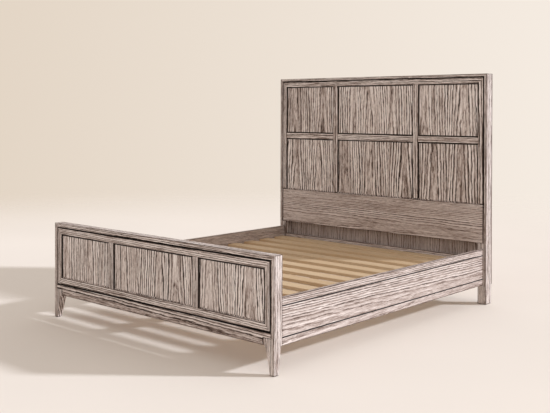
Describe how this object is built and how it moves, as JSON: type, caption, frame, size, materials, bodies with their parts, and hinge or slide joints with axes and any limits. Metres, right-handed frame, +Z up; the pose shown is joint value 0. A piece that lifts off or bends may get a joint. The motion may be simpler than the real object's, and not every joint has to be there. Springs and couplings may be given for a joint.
{
  "type": "panelled bed frame",
  "caption": "Wooden bed frame with a tall panelled headboard, a low panelled footboard on tapered legs, grooved side rails and a slatted mattress base.",
  "frame": {"origin": "on the floor under the middle of the frame", "axes": "+X to the right as seen from the foot end, +Y from the footboard to the headboard, +Z up"},
  "size_m": [1.95, 2.328, 1.632],
  "materials": {
    "oak": "weathered grey-brown, brushed, satin",
    "pine": "planed, bare",
    "steel": "zinc plated",
    "nylon": "moulded, dark"
  },
  "bodies": {
    "frame": {"beam_hangers": "steel", "centre_beam": "pine", "centre_leg_1": "pine", "centre_leg_2": "pine", "footboard_back_panel": "oak", "footboard_bottom_rail": "oak", "footboard_inner_bottom_rail": "oak", "footboard_inner_stile_left": "oak", "footboard_inner_stile_right": "oak", "footboard_inner_top_rail": "oak", "footboard_mullion_left": "oak", "footboard_mullion_right": "oak", "footboard_panel_centre": "oak", "footboard_panel_left": "oak", "footboard_panel_right": "oak", "footboard_post_left": "oak", "footboard_post_right": "oak", "footboard_top_rail": "oak", "headboard_back_panel": "oak", "headboard_cross_rail_centre": "oak", "headboard_cross_rail_left": "oak", "headboard_cross_rail_right": "oak", "headboard_inner_stile_left": "oak", "headboard_inner_stile_right": "oak", "headboard_inner_top_rail": "oak", "headboard_lower_board": "oak", "headboard_lower_panel_centre": "oak", "headboard_lower_panel_left": "oak", "headboard_lower_panel_right": "oak", "headboard_mullion_left": "oak", "headboard_mullion_right": "oak", "headboard_post_left": "oak", "headboard_post_right": "oak", "headboard_stretcher": "oak", "headboard_top_rail": "oak", "headboard_upper_panel_centre": "oak", "headboard_upper_panel_left": "oak", "headboard_upper_panel_right": "oak", "leg_glides": "nylon", "post_slot_plates": "steel", "rail_hook_plates": "steel", "side_rail_left": "oak", "side_rail_right": "oak", "slat_01": "pine", "slat_02": "pine", "slat_03": "pine", "slat_04": "pine", "slat_05": "pine", "slat_06": "pine", "slat_07": "pine", "slat_08": "pine", "slat_09": "pine", "slat_10": "pine", "slat_11": "pine", "slat_12": "pine", "slat_cleat_left": "pine", "slat_cleat_right": "pine", "tee_nuts": "steel"},
    "levelling_foot_1": {"levelling_foot_1": "steel"},
    "levelling_foot_2": {"levelling_foot_2": "steel"}
  },
  "joints": [
    {"name": "levelling_foot_1_screw", "type": "slide", "parent": "frame", "child": "levelling_foot_1", "axis": [0, 0, 1], "range_m": [-0.006, 0.012]},
    {"name": "levelling_foot_2_screw", "type": "slide", "parent": "frame", "child": "levelling_foot_2", "axis": [0, 0, 1], "range_m": [-0.006, 0.012]}
  ]
}
